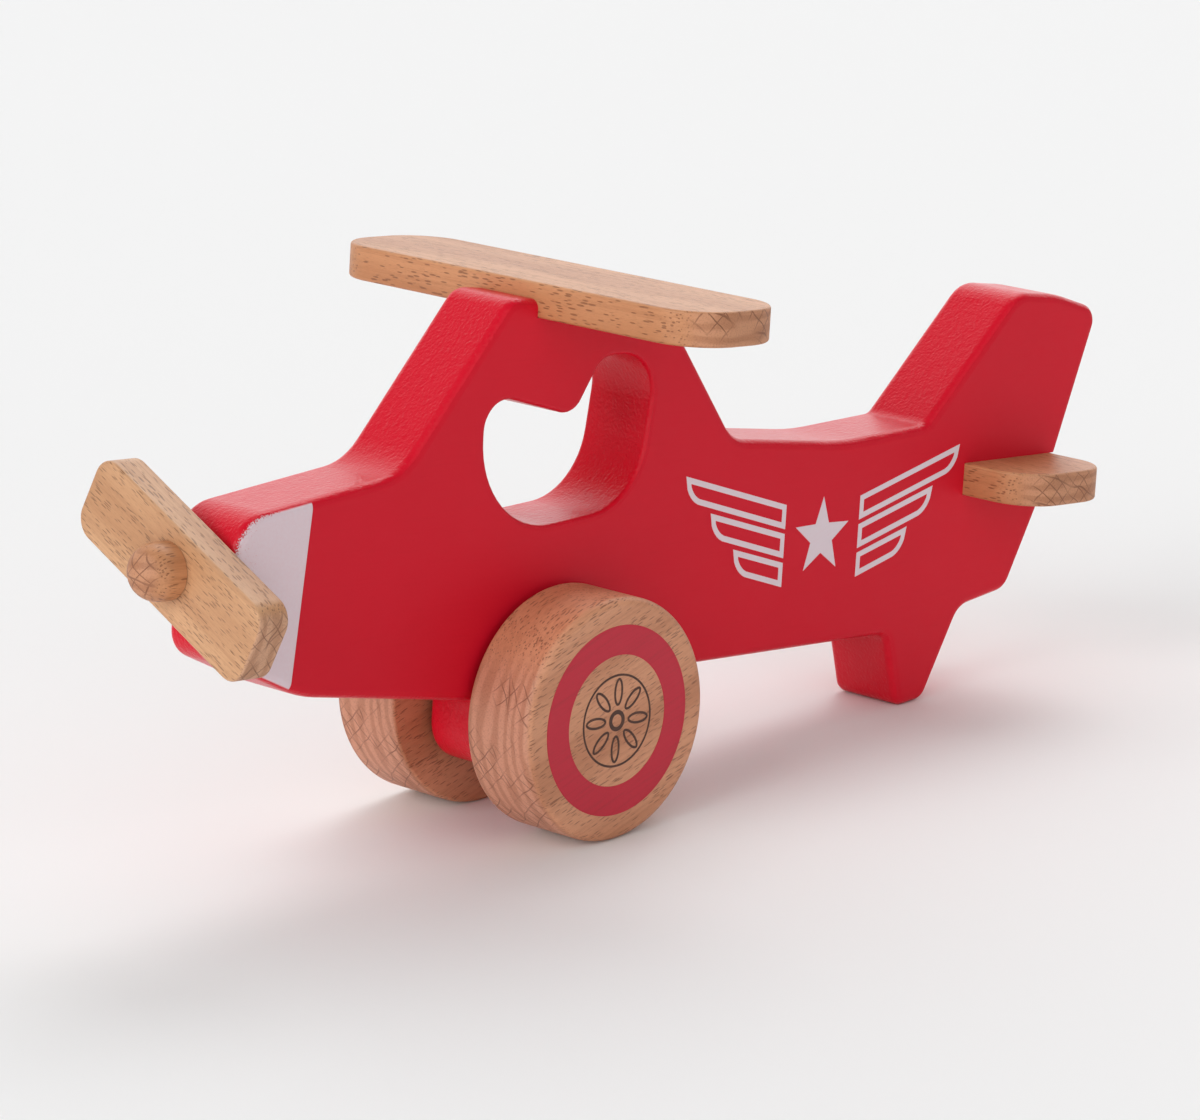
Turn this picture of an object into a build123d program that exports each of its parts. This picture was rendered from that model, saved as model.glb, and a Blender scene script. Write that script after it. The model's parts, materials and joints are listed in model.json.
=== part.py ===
# Wooden push-along toy airplane: a painted fuselage board with a wing and a
# tailplane let into it, a propeller that spins on a domed peg, and two wheels
# glued on a dowel axle that turns in the lug under the fuselage.
#
# Row frame: +X to the nose, +Y to port, +Z up, origin on the floor below the
# middle of the overall length. Millimetres.
#
# The airplane stands nose-up on its wheels and tail skid. Its outline is drawn
# level, from the axle's centre, on planes that carry that pitch.
import os
from math import cos, radians, sin

from build123d import *

os.makedirs("parts", exist_ok=True)

# ---- driving dimensions -------------------------------------------------
stance = 6.3  # nose-up pitch on the floor, degrees
axle_x = 34.9  # axle ahead of the row origin

wheel_d = 50.0
wheel_t = 17.3
wheel_gap = 21.7  # between the wheels' inner faces
wheel_outer_edge_r = 1.8
wheel_inner_edge_r = 0.8
axle_d = 8.0
axle_in_wheel = 12.0
running_clearance = 0.08  # radial, axle in lug and propeller on peg

body_t = 18.5
body_edge_r = 2.0
window_edge_r = 1.2
nose_x = 87.4  # nose face ahead of the axle
boom_z = 47.4  # top of the tail boom above the axle
belly_z = 3.2

board_t = 7.1  # wing and tailplane stock
board_edge_r = 0.6
wing_chord = 27.2
wing_span = 106.0
wing_tip_r = 11.0
wing_front_x = 10.2
wing_seat_z = 79.3
tail_chord = 28.6
tail_span = 56.0
tail_tip_r = 10.0
tail_front_x = -122.6
tail_bottom_z = 32.0

dowel_d = 5.0
dowel_in_body = 6.0
dowel_in_wing = 4.5
dowel_pitch = 13.0

peg_z = 34.8
peg_shank_d = 7.0
peg_in_body = 22.0
peg_head_d = 11.5
peg_head_side = 2.6  # straight part under the round end
prop_length = 54.0
prop_width = 17.5
prop_t = 7.6
prop_corner_r = 4.5
prop_edge_r = 0.7
prop_gap = 1.0  # nose face to propeller
prop_angle = 25.5  # droop of the port half as parked, degrees
head_gap = 0.1  # propeller to the peg's head

wing_centre_x = wing_front_x - wing_chord / 2
tail_centre_x = tail_front_x - tail_chord / 2
prop_back_x = nose_x + prop_gap
head_x = prop_back_x + prop_t + head_gap

dowel_places = {
    "wing_dowel_rear": (wing_centre_x - dowel_pitch / 2, 0),
    "wing_dowel_front": (wing_centre_x + dowel_pitch / 2, 0),
}
seat_cut_length = 50.0
slot_cut_length = 60.0

# ---- planes -------------------------------------------------------------
axle_centre = (axle_x, 0, wheel_d / 2)
forward = (cos(radians(stance)), 0, sin(radians(stance)))
upward = (-sin(radians(stance)), 0, cos(radians(stance)))
side_plane = Plane(origin=axle_centre, x_dir=forward, z_dir=(0, -1, 0))
level_plane = Plane(origin=axle_centre, x_dir=forward, z_dir=upward)
front_plane = Plane(origin=axle_centre, x_dir=(0, 1, 0), z_dir=forward)


def floor_z(x):
    """Height of the floor in the outline, x ahead of the axle."""
    return -(wheel_d / 2 + x * forward[2]) / forward[0]


# ---- fuselage outline: (corner, rounding), from the axle ------------------
skid_rear_x = -114.9
skid_front_x = -106.3
lug_half = 16.5
lug_z = -13.8

fuselage_corners = [
    ((nose_x, 17.0), 6.0),
    ((nose_x, 45.0), 9.0),
    ((44.5, 50.6), 14.0),
    ((17.0, 83.6), 5.0),
    ((wing_front_x - 4, 82.6), 2.5),
    ((wing_front_x - 8, wing_seat_z + 0.5), 2.5),
    ((-26.6, wing_seat_z + 0.5), 5.0),
    ((-49.6, 50.0), 9.0),
    ((-84.0, boom_z - 0.6), 60.0),
    ((-109.6, boom_z + 1.0), 4.0),
    ((-136.8, 75.5), 8.0),
    ((-150.5, 74.2), 30.0),
    ((-164.6, 70.2), 4.0),
    ((-150.4, 30.5), 8.0),
    ((-139.9, 9.5), 5.0),
    ((-125.0, 6.9), 6.0),
    ((skid_rear_x, floor_z(skid_rear_x)), 4.0),
    ((skid_front_x, floor_z(skid_front_x)), 3.0),
    ((-101.4, belly_z), 3.0),
    ((-lug_half, belly_z), 4.0),
    ((-lug_half, lug_z), 8.5),
    ((lug_half, lug_z), 8.5),
    ((lug_half, 1.8), 4.0),
    ((68.0, 8.4), 30.0),
]
# The finger window, a bean with one lobe under the wing.
window_corners = [
    ((22.6, 65.0), 6.0),
    ((-2.0, 58.6), 5.0),
    ((-9.4, 70.2), 6.0),
    ((-25.6, 70.2), 9.0),
    ((-21.4, 38.8), 16.0),
    ((22.6, 35.2), 19.0),
]


on_plane = (Align.CENTER, Align.CENTER, Align.MIN)
below_plane = (Align.CENTER, Align.CENTER, Align.MAX)


def write_part(builder, name):
    """Label one finished piece and write its STEP file."""
    builder.part.label = name
    export_step(builder.part, f"parts/{name}.step")


def rounded_outline(corners):
    """Closed outline through corners, each rounded to its own radius."""
    points = [point for point, radius in corners]
    radii = [radius for point, radius in corners]
    return FilletPolyline(*points, radius=radii, close=True)


# ---- fuselage -----------------------------------------------------------
with BuildPart() as fuselage:
    with BuildSketch(side_plane):
        with BuildLine():
            rounded_outline(fuselage_corners)
        make_face()
    extrude(amount=body_t / 2, both=True)
    fillet(fuselage.faces().filter_by(Axis.Y).edges(), radius=body_edge_r)

    with BuildSketch(side_plane):
        with BuildLine():
            rounded_outline(window_corners)
        make_face()
    extrude(amount=body_t / 2, both=True, mode=Mode.SUBTRACT)
    window_rims = fuselage.edges(Select.LAST).filter_by(Axis.Y, reverse=True)
    fillet(window_rims, radius=window_edge_r)

    # The wing's seat behind its lip, and the tailplane's slot, both open behind.
    with Locations(level_plane.offset(wing_seat_z)):
        with Locations((wing_front_x - seat_cut_length / 2, 0)):
            Box(seat_cut_length, body_t, board_t, align=on_plane, mode=Mode.SUBTRACT)
    with Locations(level_plane.offset(tail_bottom_z)):
        with Locations((tail_front_x - slot_cut_length / 2, 0)):
            Box(slot_cut_length, body_t, board_t, align=on_plane, mode=Mode.SUBTRACT)

    with Locations(side_plane):
        Cylinder(axle_d / 2 + running_clearance, body_t, mode=Mode.SUBTRACT)
    with Locations(front_plane.offset(nose_x)):
        with Locations((0, peg_z)):
            Cylinder(peg_shank_d / 2, peg_in_body, align=below_plane, mode=Mode.SUBTRACT)
    with Locations(level_plane.offset(wing_seat_z)):
        with Locations(*dowel_places.values()):
            Cylinder(dowel_d / 2, dowel_in_body, align=below_plane, mode=Mode.SUBTRACT)
write_part(fuselage, "fuselage")

# ---- wing and tailplane -------------------------------------------------
with BuildPart() as wing:
    with BuildSketch(level_plane.offset(wing_seat_z)):
        with Locations((wing_centre_x, 0)):
            RectangleRounded(wing_chord, wing_span, wing_tip_r)
    extrude(amount=board_t)
    fillet(wing.faces().filter_by(level_plane).edges(), radius=board_edge_r)
    with Locations(level_plane.offset(wing_seat_z)):
        with Locations(*dowel_places.values()):
            Cylinder(dowel_d / 2, dowel_in_wing, align=on_plane, mode=Mode.SUBTRACT)
write_part(wing, "wing")

with BuildPart() as tailplane:
    with BuildSketch(level_plane.offset(tail_bottom_z)):
        with Locations((tail_centre_x, 0)):
            RectangleRounded(tail_chord, tail_span, tail_tip_r)
    extrude(amount=board_t)
    fillet(tailplane.faces().filter_by(level_plane).edges(), radius=board_edge_r)
write_part(tailplane, "tailplane")

for name, place in dowel_places.items():
    with BuildPart() as dowel:
        with Locations(level_plane.offset(wing_seat_z - dowel_in_body)):
            with Locations(place):
                Cylinder(dowel_d / 2, dowel_in_body + dowel_in_wing, align=on_plane)
    write_part(dowel, name)

# ---- propeller and its peg ------------------------------------------------
with BuildPart() as propeller:
    with BuildSketch(front_plane.offset(prop_back_x)):
        with Locations((0, peg_z)):
            RectangleRounded(prop_length, prop_width, prop_corner_r, rotation=-prop_angle)
    extrude(amount=prop_t)
    fillet(propeller.faces().filter_by(front_plane).edges(), radius=prop_edge_r)
    with Locations(front_plane.offset(prop_back_x)):
        with Locations((0, peg_z)):
            bore_r = peg_shank_d / 2 + running_clearance
            Cylinder(bore_r, prop_t, align=on_plane, mode=Mode.SUBTRACT)
write_part(propeller, "propeller")

with BuildPart() as propeller_peg:
    with BuildSketch(side_plane):
        with BuildLine():
            shank_end_x = nose_x - peg_in_body
            shank_top = peg_z + peg_shank_d / 2
            head_r = peg_head_d / 2
            head_top = peg_z + head_r
            dome_x = head_x + peg_head_side
            tip = (dome_x + head_r, peg_z)
            Polyline(
                tip,
                (shank_end_x, peg_z),
                (shank_end_x, shank_top),
                (head_x, shank_top),
                (head_x, head_top),
                (dome_x, head_top),
            )
            CenterArc((dome_x, peg_z), head_r, 0, 90)
        make_face()
    revolve(axis=Axis(side_plane.from_local_coords(tip), forward))
write_part(propeller_peg, "propeller_peg")

# ---- wheels and axle ----------------------------------------------------
for name, side in (("wheel_left", 1), ("wheel_right", -1)):
    wheel_plane = Plane(axle_centre, x_dir=forward, z_dir=(0, side, 0))
    with BuildPart() as wheel:
        with Locations(wheel_plane.offset(wheel_gap / 2)):
            Cylinder(wheel_d / 2, wheel_t, align=on_plane)
            flat_faces = wheel.faces().filter_by(Axis.Y)
            outer_face, inner_face = flat_faces.sort_by(Axis.Y, reverse=side > 0)
        fillet(inner_face.edges(), radius=wheel_inner_edge_r)
        outer_face = wheel.faces().filter_by(Axis.Y).sort_by(Axis.Y, reverse=side > 0)[0]
        fillet(outer_face.edges(), radius=wheel_outer_edge_r)
        with Locations(wheel_plane.offset(wheel_gap / 2)):
            Cylinder(axle_d / 2, axle_in_wheel, align=on_plane, mode=Mode.SUBTRACT)
    write_part(wheel, name)

with BuildPart() as axle:
    with Locations(side_plane):
        Cylinder(axle_d / 2, wheel_gap + 2 * axle_in_wheel)
write_part(axle, "axle")
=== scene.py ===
"""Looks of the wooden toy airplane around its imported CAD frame.

Satin red paint over the fuselage board, lacquered beech for every other
piece, and thin paint films for the emblem, the wheel rings and the burnt
rosettes. The films are drawn in millimetres from the axle, whose place and
level come from the frame's joints, on faces that the node boxes give.
"""

import json
from math import cos, pi, radians, sin

import bmesh
import bpy
from mathutils import Matrix, Vector


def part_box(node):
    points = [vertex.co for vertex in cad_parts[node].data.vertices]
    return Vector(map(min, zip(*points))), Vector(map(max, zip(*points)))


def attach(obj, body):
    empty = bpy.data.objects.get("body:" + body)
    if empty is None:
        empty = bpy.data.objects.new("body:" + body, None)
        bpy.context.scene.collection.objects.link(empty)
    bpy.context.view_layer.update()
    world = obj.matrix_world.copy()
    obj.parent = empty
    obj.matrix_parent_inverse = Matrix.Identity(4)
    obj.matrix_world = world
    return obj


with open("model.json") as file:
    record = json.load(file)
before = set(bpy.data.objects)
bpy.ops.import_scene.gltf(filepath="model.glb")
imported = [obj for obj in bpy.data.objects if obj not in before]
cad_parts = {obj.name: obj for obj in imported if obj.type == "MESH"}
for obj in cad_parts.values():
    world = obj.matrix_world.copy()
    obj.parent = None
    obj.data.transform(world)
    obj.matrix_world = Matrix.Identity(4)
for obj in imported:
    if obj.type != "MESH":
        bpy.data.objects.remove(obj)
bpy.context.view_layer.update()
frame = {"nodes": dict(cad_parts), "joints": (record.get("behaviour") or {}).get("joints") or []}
MM = 0.001

# ---- the airplane's own frame, from the joints and the node boxes -----------
joints = {joint["name"]: joint for joint in frame["joints"]}
AXLE = Vector(joints["wheel_roll"]["pos_m"])
NOSE_AXIS = Vector(joints["propeller_spin"]["axis"]).normalized()
PORT = Vector((0, 1, 0))
UP = NOSE_AXIS.cross(PORT)
PEG = Vector(joints["propeller_spin"]["pos_m"])
BODY_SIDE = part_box("fuselage")[1].y
WHEEL_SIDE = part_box("wheel_left")[1].y
PROP_DROOP = radians(25.5)  # the propeller's port half as parked, below level

# The grain's direction in each board.
WHEEL_GRAIN_LEAN = radians(16)
WHEEL_GRAIN = Vector((-cos(WHEEL_GRAIN_LEAN), 0, sin(WHEEL_GRAIN_LEAN)))
SPAN_GRAIN = PORT
PROP_GRAIN = (PORT * cos(PROP_DROOP) - UP * sin(PROP_DROOP)).normalized()
PROP_ACROSS = PROP_GRAIN.cross(NOSE_AXIS)


def on_side(x, z, y):
    """Point x ahead of the axle and z above it, in millimetres, level frame."""
    point = AXLE + NOSE_AXIS * (x * MM) + UP * (z * MM)
    return Vector((point.x, y, point.z))


# ---- node helpers -------------------------------------------------------------
class Nodes:
    """A material's node tree with short calls for the nodes used here."""

    def __init__(self, name):
        self.material = bpy.data.materials.new(name)
        self.material.use_nodes = True
        self.tree = self.material.node_tree
        self.tree.nodes.clear()
        self.coordinates = self.tree.nodes.new("ShaderNodeTexCoord")

    def node(self, kind, inputs=None, **settings):
        made = self.tree.nodes.new("ShaderNode" + kind)
        for key, value in settings.items():
            setattr(made, key, value)
        for key, value in (inputs or {}).items():
            self.put(made.inputs[key], value)
        return made

    def put(self, socket, value):
        if isinstance(value, bpy.types.NodeSocket):
            self.tree.links.new(value, socket)
        elif isinstance(value, bpy.types.Node):
            self.tree.links.new(value.outputs[0], socket)
        else:
            socket.default_value = value

    def math(self, operation, a, b=0.0, c=0.0):
        return self.node("Math", {0: a, 1: b, 2: c}, operation=operation).outputs[0]

    def place(self, origin, x_axis, y_axis):
        """Object coordinates read in the frame of origin, x_axis and y_axis."""
        z_axis = x_axis.cross(y_axis)
        turn = Matrix((x_axis, y_axis, z_axis)).transposed().to_euler()
        mapped = self.node("Mapping", vector_type="TEXTURE")
        mapped.inputs["Location"].default_value = origin
        mapped.inputs["Rotation"].default_value = turn
        self.put(mapped.inputs["Vector"], self.coordinates.outputs["Object"])
        return mapped.outputs[0]

    def stretch(self, vector, scale):
        """The vector times a scale per axis, so a texture is drawn out along one."""
        made = self.node("VectorMath", {0: vector, 1: scale}, operation="MULTIPLY")
        return made.outputs[0]

    def split(self, vector):
        return self.node("SeparateXYZ", {0: vector}).outputs

    def noise(self, vector, scale, detail=3.0, roughness=0.5):
        values = {"Vector": vector, "Scale": scale, "Detail": detail, "Roughness": roughness}
        return self.node("TexNoise", values).outputs["Fac"]

    def ramp(self, value, low, high):
        """0 below low, 1 above high, smooth between."""
        values = {"Value": value, "From Min": low, "From Max": high}
        return self.node("MapRange", values, interpolation_type="SMOOTHSTEP").outputs[0]

    def mix(self, factor, a, b, blend="MIX"):
        made = self.node("Mix", data_type="RGBA", blend_type=blend)
        self.put(made.inputs[0], factor)
        self.put(made.inputs[6], a)
        self.put(made.inputs[7], b)
        return made.outputs[2]

    def facing(self, axis):
        """How squarely the surface faces along axis, 0 to 1, either way."""
        normal = self.coordinates.outputs["Normal"]
        dot = self.node("VectorMath", {0: normal, 1: axis}, operation="DOT_PRODUCT")
        return self.math("ABSOLUTE", dot.outputs["Value"])

    def bump(self, height, distance, strength=1.0):
        values = {"Height": height, "Distance": distance, "Strength": strength}
        return self.node("Bump", values).outputs[0]

    def finish(self, color, roughness, normal, coat=0.0, coat_roughness=0.2, specular=0.5):
        values = {
            "Base Color": color,
            "Roughness": roughness,
            "Normal": normal,
            "Coat Weight": coat,
            "Coat Roughness": coat_roughness,
            "Specular IOR Level": specular,
        }
        shader = self.node("BsdfPrincipled", values)
        self.node("OutputMaterial", {"Surface": shader.outputs[0]})
        return self.material


# ---- colours, linear ------------------------------------------------------------
RED = (0.69, 0.0040, 0.0225, 1)
RED_DEEP = (0.62, 0.0026, 0.016, 1)
# Pale paint of the nose panel and the emblem: white, with a pink cast that is painted reflection of red
# bounce light from the fuselage.
WHITE_PAINT_PAINTED_BOUNCE = (0.80, 0.68, 0.73, 1)
RING_RED = (0.55, 0.008, 0.032, 1)
RING_RED_WORN = (0.36, 0.020, 0.030, 1)
BEECH_PALE = (0.70, 0.40, 0.225, 1)
BEECH_WARM = (0.56, 0.285, 0.145, 1)
BEECH_STREAK = (0.43, 0.20, 0.095, 1)
BEECH_FLECK = (0.22, 0.095, 0.042, 1)
BEECH_END = (0.62, 0.35, 0.225, 1)
BEECH_END_WARM = (0.50, 0.26, 0.155, 1)
BEECH_END_DARK = (0.20, 0.080, 0.040, 1)
BURNT = (0.060, 0.020, 0.010, 1)

# Tints that the beech of each board is multiplied by.
PALE_BEECH = (1.0, 0.98, 0.92, 1)
AMBER_BEECH = (0.93, 0.76, 0.62, 1)
PINK_BEECH = (1.0, 0.82, 0.80, 1)


# ---- beech ------------------------------------------------------------------------
# Texture scales, in cells per metre along the grain, across it and through the board.
CLOUD = (14, 90, 90)
STREAK = (20, 1300, 1300)
PORE = (700, 5200, 5200)
WANDER = (80, 300, 300)
FLECK = (300, 2700, 1700)
GROWTH_ARC = (0, 260, 900)
END_PORE = (3000, 3000, 3000)
END_PATCH = (120, 120, 120)
SAW_MARKS = ((0.9, 310.0, 0.93), (-1.15, 240.0, 0.95), (0.35, 150.0, 0.965))  # lean, per metre, onset
BEECH_RELIEF = 0.00012


def beech_pattern(n, origin, grain, across):
    """Colour, roughness and bump height of planed beech, grain along one axis."""
    at = n.place(origin, grain, across)
    cloud = n.noise(n.stretch(at, CLOUD), 1.0, 2.0)
    streak = n.noise(n.stretch(at, STREAK), 1.0, 4.0, 0.65)
    pores = n.noise(n.stretch(at, PORE), 1.0, 2.0)

    # Short dark ray flecks, each a cell drawn out along the grain.
    wander = n.noise(n.stretch(at, WANDER), 1.0, 1.0)
    cells = n.node(
        "TexVoronoi",
        {"Vector": n.stretch(at, FLECK), "Scale": 1.0, "Randomness": 1.0},
        feature="F1",
    ).outputs["Distance"]
    reach = n.math("MULTIPLY_ADD", wander, 0.42, 0.08)
    fleck = n.ramp(n.math("SUBTRACT", reach, cells), -0.04, 0.10)

    face = n.mix(n.ramp(cloud, 0.3, 0.7), BEECH_PALE, BEECH_WARM)
    face = n.mix(n.math("MULTIPLY", n.ramp(streak, 0.42, 0.68), 0.42), face, BEECH_STREAK)
    face = n.mix(n.math("MULTIPLY", n.ramp(pores, 0.5, 0.8), 0.26), face, BEECH_FLECK)
    face = n.mix(n.math("MULTIPLY", fleck, 0.66), face, BEECH_FLECK)

    # End grain: growth arcs, fine pores and crossing saw marks.
    _, side, deep = n.split(at)
    arcs = n.node(
        "TexWave",
        {"Vector": n.stretch(at, GROWTH_ARC), "Scale": 0.12, "Distortion": 9.0, "Detail": 3.0},
        wave_type="BANDS",
        bands_direction="Z",
    ).outputs["Fac"]
    speck = n.noise(n.stretch(at, END_PORE), 1.0, 2.0)
    patch = n.noise(n.stretch(at, END_PATCH), 1.0, 1.0)
    saw = None
    for lean, per_metre, onset in SAW_MARKS:
        line = n.math("MULTIPLY_ADD", side, lean, deep)
        line = n.math("MULTIPLY_ADD", patch, 0.004, line)
        wave = n.math("SINE", n.math("MULTIPLY", line, per_metre * 2 * pi))
        mark = n.ramp(wave, onset, 1.0)
        saw = mark if saw is None else n.math("MAXIMUM", saw, mark)
    saw = n.math("MULTIPLY", saw, n.ramp(patch, 0.38, 0.62))
    end = n.mix(n.ramp(arcs, 0.2, 0.9), BEECH_END, BEECH_END_WARM)
    end = n.mix(n.math("MULTIPLY", n.ramp(speck, 0.45, 0.75), 0.30), end, BEECH_END_DARK)
    end = n.mix(n.math("MULTIPLY", saw, 0.70), end, BEECH_END_DARK)

    endness = n.ramp(n.facing(grain), 0.45, 0.80)
    color = n.mix(endness, face, end)
    face_height = n.math("MULTIPLY_ADD", fleck, -0.7, n.math("MULTIPLY", pores, 0.35))
    end_height = n.math("MULTIPLY_ADD", saw, -1.0, n.math("MULTIPLY", speck, 0.30))
    height = n.mix(endness, face_height, end_height)
    roughness = n.math("MULTIPLY_ADD", streak, 0.16, 0.42)
    roughness = n.math("MULTIPLY_ADD", endness, 0.12, roughness)
    return color, roughness, height


def beech(name, origin, grain, across, tint):
    n = Nodes(name)
    color, roughness, height = beech_pattern(n, origin, grain, across)
    color = n.mix(1.0, color, tint, "MULTIPLY")
    return n.finish(color, roughness, n.bump(height, BEECH_RELIEF, 0.8), coat=0.08, coat_roughness=0.35)


# ---- red paint with the white nose panel ----------------------------------------
PANEL_TOP = (67.9, 46.0)  # two points on the white panel's rear edge, from the axle, mm
PANEL_BOTTOM = (71.2, 12.0)
SIDE_MARGIN = 0.55  # the panel ends where the edge has curved this far in, mm
PEEL = 1500.0
RIPPLE = (420, 700, 700)
PAINTED_GRAIN = (90, 1500, 1500)
MOTTLE = 55.0
SPRAY = 3200.0
SPRAY_REACH = 0.0028
PAINT_RELIEF = 0.00026


def red_paint():
    n = Nodes("red_satin_paint")
    at = n.place(AXLE, NOSE_AXIS, PORT)
    forward, port, up = n.split(at)
    peel = n.noise(at, PEEL, 2.0)
    ripple = n.noise(n.stretch(at, RIPPLE), 1.0, 3.0)
    grain = n.noise(n.stretch(at, PAINTED_GRAIN), 1.0, 3.0, 0.6)
    mottle = n.noise(at, MOTTLE, 2.0)

    # The panel: on the side faces, ahead of a leaning straight edge.
    lean = (PANEL_BOTTOM[0] - PANEL_TOP[0]) / (PANEL_BOTTOM[1] - PANEL_TOP[1])
    edge = n.math("MULTIPLY_ADD", up, lean, (PANEL_TOP[0] - lean * PANEL_TOP[1]) * MM)
    ahead = n.math("SUBTRACT", forward, edge)
    crisp = n.ramp(ahead, -0.00004, 0.00006)
    spray = n.math("SUBTRACT", n.noise(at, SPRAY, 3.0, 0.7), 0.5)
    spray = n.math("MULTIPLY", spray, SPRAY_REACH)
    spray = n.math("MULTIPLY", spray, n.ramp(ahead, 0.006, 0.015))
    inside = n.math("SUBTRACT", n.math("ABSOLUTE", port), BODY_SIDE - SIDE_MARGIN * MM)
    on_face = n.ramp(n.math("ADD", inside, spray), -0.00018, 0.00018)
    white = n.math("MULTIPLY", crisp, on_face)

    red = n.mix(n.math("MULTIPLY", mottle, 0.4), RED, RED_DEEP)
    red = n.mix(n.math("MULTIPLY", n.ramp(grain, 0.5, 0.8), 0.3), red, RED_DEEP)
    # The nose panel's pale paint carries a painted pink cast that stands for red bounce light from the
    # paint around it.
    color = n.mix(white, red, n.mix(n.math("MULTIPLY", peel, 0.10), WHITE_PAINT_PAINTED_BOUNCE, RED))

    # The board's flat sides are sanded smooth; its edges keep the wood's texture.
    flat = n.ramp(n.facing(PORT), 0.80, 0.98)
    texture = n.math("ADD", n.math("MULTIPLY", ripple, 0.4), n.math("MULTIPLY", peel, 0.5))
    strength = n.math("MULTIPLY_ADD", flat, -0.85, 1.0)
    height = n.math("MULTIPLY", n.math("ADD", texture, n.math("MULTIPLY", grain, 0.35)), strength)
    height = n.math("MULTIPLY_ADD", white, 0.25, height)
    roughness = n.math("MULTIPLY_ADD", flat, 0.24, 0.25)
    roughness = n.math("MULTIPLY_ADD", ripple, 0.10, roughness)
    roughness = n.math("MULTIPLY_ADD", white, 0.12, roughness)
    return n.finish(color, roughness, n.bump(height, PAINT_RELIEF, 1.0), specular=0.24)


def film_paint(name, color, wood_color, wood_share):
    """A thin brushed film: the wood's grain still shows through it."""
    n = Nodes(name)
    at = n.place(AXLE, WHEEL_GRAIN, PORT)
    grain = n.noise(n.stretch(at, (60, 1100, 1100)), 1.0, 4.0, 0.65)
    fine = n.noise(at, 2400.0, 2.0)
    shade = n.mix(n.math("MULTIPLY", n.ramp(grain, 0.45, 0.8), wood_share), color, wood_color)
    shade = n.mix(n.math("MULTIPLY", n.ramp(fine, 0.5, 0.9), wood_share * 0.6), shade, wood_color)
    height = n.math("MULTIPLY_ADD", grain, 0.7, n.math("MULTIPLY", fine, 0.3))
    roughness = n.math("MULTIPLY_ADD", grain, 0.2, 0.40)
    return n.finish(shade, roughness, n.bump(height, 0.00006, 0.8))


# ---- thin films --------------------------------------------------------------------
FILM = 0.05 * MM  # half the film's thickness; it sits half sunk in the surface
SHARPEST_MITRE = 0.35  # keeps a pointed corner of a band from running far inwards


def film(name, shapes, side_y, material, body):
    """Thin closed plates on a side face: each shape is (points, faces), in mm."""
    sign = 1 if side_y > 0 else -1
    mesh = bpy.data.meshes.new(name)
    shell = bmesh.new()
    for points, faces in shapes:
        top = [shell.verts.new(on_side(x, z, side_y + sign * FILM)) for x, z in points]
        low = [shell.verts.new(on_side(x, z, side_y - sign * FILM)) for x, z in points]
        edges = {}
        for face in faces:
            shell.faces.new([top[i] for i in face])
            shell.faces.new([low[i] for i in reversed(face)])
            for a, b in zip(face, face[1:] + face[:1]):
                edges[frozenset((a, b))] = edges.get(frozenset((a, b)), []) + [(a, b)]
        for uses in edges.values():
            if len(uses) == 1:
                a, b = uses[0]
                shell.faces.new([top[b], top[a], low[a], low[b]])
    bmesh.ops.recalc_face_normals(shell, faces=shell.faces)
    shell.to_mesh(mesh)
    shell.free()
    made = bpy.data.objects.new(name, mesh)
    bpy.context.scene.collection.objects.link(made)
    made.data.materials.append(material)
    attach(made, body)
    return made


def band(loop, width):
    """A closed line of the given width drawn just inside a loop of points."""
    count = len(loop)
    area = sum(
        loop[i][0] * loop[(i + 1) % count][1] - loop[(i + 1) % count][0] * loop[i][1]
        for i in range(count)
    )
    turn = 1 if area > 0 else -1
    inner = []
    for i, (x, z) in enumerate(loop):
        before = Vector((x - loop[i - 1][0], z - loop[i - 1][1])).normalized()
        after = Vector((loop[(i + 1) % count][0] - x, loop[(i + 1) % count][1] - z)).normalized()
        normal_a = Vector((-before.y, before.x)) * turn
        normal_b = Vector((-after.y, after.x)) * turn
        middle = (normal_a + normal_b).normalized()
        reach = width / max(middle.dot(normal_a), SHARPEST_MITRE)
        inner.append((x + middle.x * reach, z + middle.y * reach))
    faces = [[i, (i + 1) % count, count + (i + 1) % count, count + i] for i in range(count)]
    return loop + inner, faces


def annulus(radius, width, segments):
    """A ring about the axle, its outer edge at radius."""
    angles = [2 * pi * i / segments for i in range(segments)]
    return band([(radius * cos(angle), radius * sin(angle)) for angle in angles], width)


def star(centre, outer, inner, points):
    """A filled star as a fan of triangles about its centre."""
    rim = []
    for i in range(2 * points):
        radius = outer if i % 2 == 0 else inner
        angle = pi / 2 + pi * i / points
        rim.append((centre[0] + radius * cos(angle), centre[1] + radius * sin(angle)))
    fan = [centre] + rim
    faces = [[0, 1 + i, 1 + (i + 1) % (2 * points)] for i in range(2 * points)]
    return fan, faces


# ---- emblem: a plain star between two feathered wings -------------------------------
EMBLEM_CENTRE = (-78.0, 27.0)
EMBLEM_LINE = 1.2
STAR_OUTER = 8.6
STAR_INNER = 3.5
FEATHERS = ((31.0, 7.8), (23.0, 1.6), (15.5, -4.6))  # reach, and its top at the root above the centre
FEATHER_ROOT = 11.5
FEATHER_RISE = 0.28
FEATHER_STEP = 5.2  # depth of a feather
FEATHER_ROUNDING = 0.8
TIP_STEPS = 9
FIRST_TIP_STEP = 3  # leaves the tip pointed


def feather(reach, top_z, direction):
    """One feather's outline: straight above, rounding up to its tip from below."""
    x0, z0 = EMBLEM_CENTRE
    root = x0 + direction * FEATHER_ROOT
    root_z = z0 + top_z
    outline = [(root, root_z), (root + direction * reach, root_z + FEATHER_RISE * reach)]
    for i in range(FIRST_TIP_STEP, TIP_STEPS):
        angle = pi / 2 * i / TIP_STEPS
        along = reach - FEATHER_STEP + FEATHER_STEP * cos(angle) ** FEATHER_ROUNDING
        z = root_z + FEATHER_RISE * along - FEATHER_STEP * sin(angle)
        outline.append((root + direction * along, z))
    return outline + [(root, root_z - FEATHER_STEP)]


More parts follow.
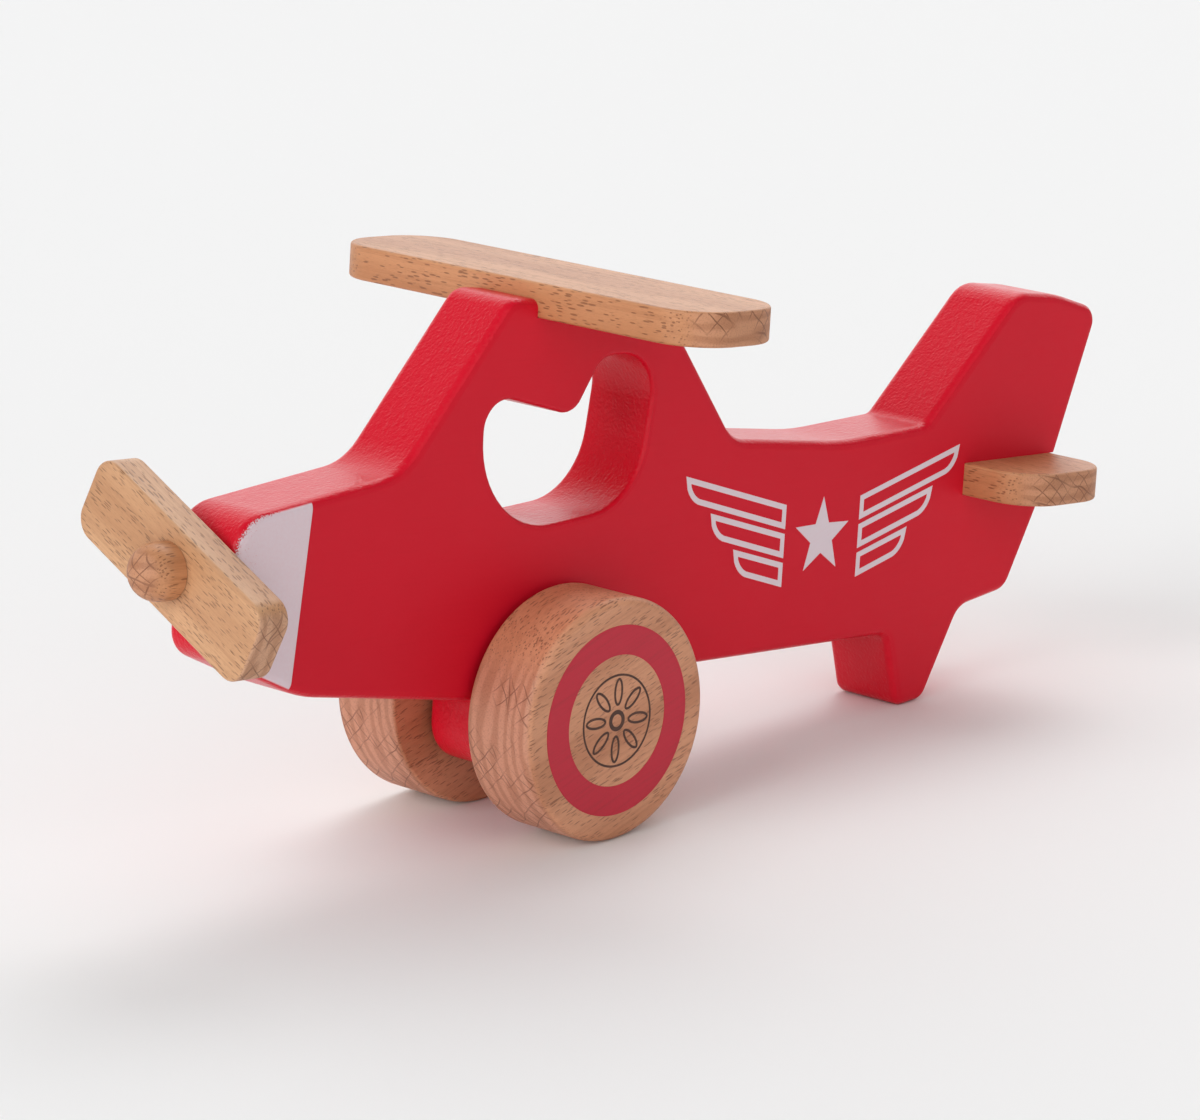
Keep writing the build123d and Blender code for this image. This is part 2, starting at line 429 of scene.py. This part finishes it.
def emblem_shapes():
    shapes = [star(EMBLEM_CENTRE, STAR_OUTER, STAR_INNER, 5)]
    for direction in (1, -1):
        for reach, top_z in FEATHERS:
            shapes.append(band(feather(reach, top_z, direction), EMBLEM_LINE))
    return shapes


# ---- wheel face: a painted ring around a burnt eight-petal rosette --------------------
RING_OUTER = 19.56
RING_INNER = 13.49
ROSETTE_R = 9.6
ROSETTE_LINE = 0.45
HUB_R = 2.2
HUB_LINE = 0.9
PETALS = 8
PETAL_MIDDLE = 5.9
PETAL_LENGTH = 2.9  # half lengths of the petal's two axes
PETAL_WIDTH = 1.25
PETAL_LINE = 0.5
PETAL_POINTS = 20


def petal(angle):
    """An ellipse that points away from the axle at the given angle."""
    middle = (PETAL_MIDDLE * cos(angle), PETAL_MIDDLE * sin(angle))
    outline = []
    for j in range(PETAL_POINTS):
        t = 2 * pi * j / PETAL_POINTS
        u, v = PETAL_LENGTH * cos(t), PETAL_WIDTH * sin(t)
        x = middle[0] + u * cos(angle) - v * sin(angle)
        z = middle[1] + u * sin(angle) + v * cos(angle)
        outline.append((x, z))
    return outline


def rosette_shapes():
    shapes = [annulus(ROSETTE_R, ROSETTE_LINE, 96), annulus(HUB_R, HUB_LINE, 48)]
    for i in range(PETALS):
        shapes.append(band(petal(2 * pi * i / PETALS), PETAL_LINE))
    return shapes


# ---- materials on the CAD nodes -------------------------------------------------------
def centre(node):
    low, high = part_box(node)
    return (low + high) / 2


def dress(node, material):
    mesh = frame["nodes"][node].data
    mesh.materials.clear()
    mesh.materials.append(material)


dress("fuselage", red_paint())
dress("wing", beech("beech_wing", centre("wing"), SPAN_GRAIN, NOSE_AXIS, AMBER_BEECH))
dress("tailplane", beech("beech_tailplane", centre("tailplane"), SPAN_GRAIN, NOSE_AXIS, AMBER_BEECH))
dress("propeller", beech("beech_propeller", PEG, PROP_GRAIN, PROP_ACROSS, PALE_BEECH))
dress("propeller_peg", beech("beech_peg", PEG, NOSE_AXIS, PORT, AMBER_BEECH))
for wheel in ("wheel_left", "wheel_right"):
    across = WHEEL_GRAIN.cross(PORT)
    dress(wheel, beech("beech_" + wheel, centre(wheel), WHEEL_GRAIN, across, PINK_BEECH))
dress("axle", beech("beech_axle", AXLE, PORT, NOSE_AXIS, PINK_BEECH))
for dowel in ("wing_dowel_front", "wing_dowel_rear"):
    dress(dowel, beech("beech_" + dowel, centre(dowel), UP, PORT, PALE_BEECH))

# The emblem's pale paint carries the same painted pink cast for red bounce light.
emblem_paint = film_paint("white_emblem_paint", WHITE_PAINT_PAINTED_BOUNCE, RED, 0.06)
ring_paint = film_paint("red_ring_paint", RING_RED, RING_RED_WORN, 0.5)
burnt_wood = film_paint("burnt_wood", BURNT, BEECH_END_DARK, 0.55)

for side_name, sign in (("left", 1), ("right", -1)):
    body_y = sign * BODY_SIDE
    wheel_y = sign * WHEEL_SIDE
    ring = [annulus(RING_OUTER, RING_OUTER - RING_INNER, 128)]
    film("emblem_" + side_name, emblem_shapes(), body_y, emblem_paint, "airframe")
    film("wheel_ring_" + side_name, ring, wheel_y, ring_paint, "wheelset")
    film("wheel_rosette_" + side_name, rosette_shapes(), wheel_y, burnt_wood, "wheelset")


# ---- floor, lights, camera --------------------------------------------------------------
FLOOR_REACH = 6.0


def floor():
    mesh = bpy.data.meshes.new("studio_floor")
    corners = [(x * FLOOR_REACH, y * FLOOR_REACH, 0) for x, y in ((-1, -1), (1, -1), (1, 1), (-1, 1))]
    mesh.from_pydata(corners, [], [(0, 1, 2, 3)])
    made = bpy.data.objects.new("studio_floor", mesh)
    bpy.context.scene.collection.objects.link(made)
    n = Nodes("studio_floor")
    tone = n.noise(n.coordinates.outputs["Object"], 3.0, 1.0)
    color = n.mix(tone, (0.90, 0.90, 0.90, 1), (0.91, 0.91, 0.91, 1))
    fine = n.noise(n.coordinates.outputs["Object"], 900.0, 1.0)
    mesh.materials.append(n.finish(color, 0.75, n.bump(fine, 0.00002, 0.2), specular=0.1))


def sun(name, direction, strength, spread):
    lamp = bpy.data.lights.new(name, "SUN")
    lamp.energy = strength
    lamp.angle = radians(spread)
    made = bpy.data.objects.new(name, lamp)
    made.rotation_euler = Vector(direction).to_track_quat("Z", "Y").to_euler()
    bpy.context.scene.collection.objects.link(made)


GLOW_DIRECTION = Vector((-0.68, -0.68, 0.28)).normalized()
GLOW_RANGE = {"From Min": 0.45, "From Max": 0.95, "To Min": 0.22, "To Max": 1.65}


def studio_world():
    """Even pale light all round, brighter low behind the airplane."""
    world = bpy.data.worlds.new("studio")
    bpy.context.scene.world = world
    world.use_nodes = True
    backdrop = world.node_tree
    background = backdrop.nodes["Background"]
    direction = backdrop.nodes.new("ShaderNodeTexCoord")
    toward_back = backdrop.nodes.new("ShaderNodeVectorMath")
    toward_back.operation = "DOT_PRODUCT"
    toward_back.inputs[1].default_value = GLOW_DIRECTION
    glow = backdrop.nodes.new("ShaderNodeMapRange")
    glow.interpolation_type = "SMOOTHSTEP"
    for key, value in GLOW_RANGE.items():
        glow.inputs[key].default_value = value
    backdrop.links.new(direction.outputs["Generated"], toward_back.inputs[0])
    backdrop.links.new(toward_back.outputs["Value"], glow.inputs["Value"])
    backdrop.links.new(glow.outputs[0], background.inputs["Strength"])
    background.inputs["Color"].default_value = (1, 1, 1, 1)


floor()
sun("back_softbox", (-0.75, -0.40, 1.0), 0.72, 32)
sun("nose_softbox", (1.0, -0.05, 0.50), 1.55, 45)
sun("camera_fill", (0.55, 1.0, 0.45), 0.88, 70)
studio_world()

# The camera stands to port of the nose, a little above it, with a long lens.
CAMERA_HEADING = -134.6  # where it looks, degrees about +Z from +X
CAMERA_DOWN = 15.5  # how far below level it looks
CAMERA_ROLL = -1.02
CAMERA_DISTANCE = 1.13
CAMERA_LENS = 166.1
CAMERA_TARGET = AXLE + Vector((-0.01936, 0.00454, 0.02496))

heading, down = radians(CAMERA_HEADING), radians(CAMERA_DOWN)
look = Vector((cos(heading) * cos(down), sin(heading) * cos(down), -sin(down)))
camera = bpy.data.objects.new("camera", bpy.data.cameras.new("camera"))
camera.data.lens = CAMERA_LENS
camera.data.sensor_width = 36.0
camera.data.clip_start = 0.01
level = look.to_track_quat("-Z", "Y").to_matrix().to_4x4()
turn = Matrix.Rotation(radians(CAMERA_ROLL), 4, "Z")
camera.matrix_world = Matrix.Translation(CAMERA_TARGET - look * CAMERA_DISTANCE) @ level @ turn
bpy.context.scene.collection.objects.link(camera)
bpy.context.scene.camera = camera
bpy.context.scene.view_settings.view_transform = "Standard"

bpy.context.view_layer.update()
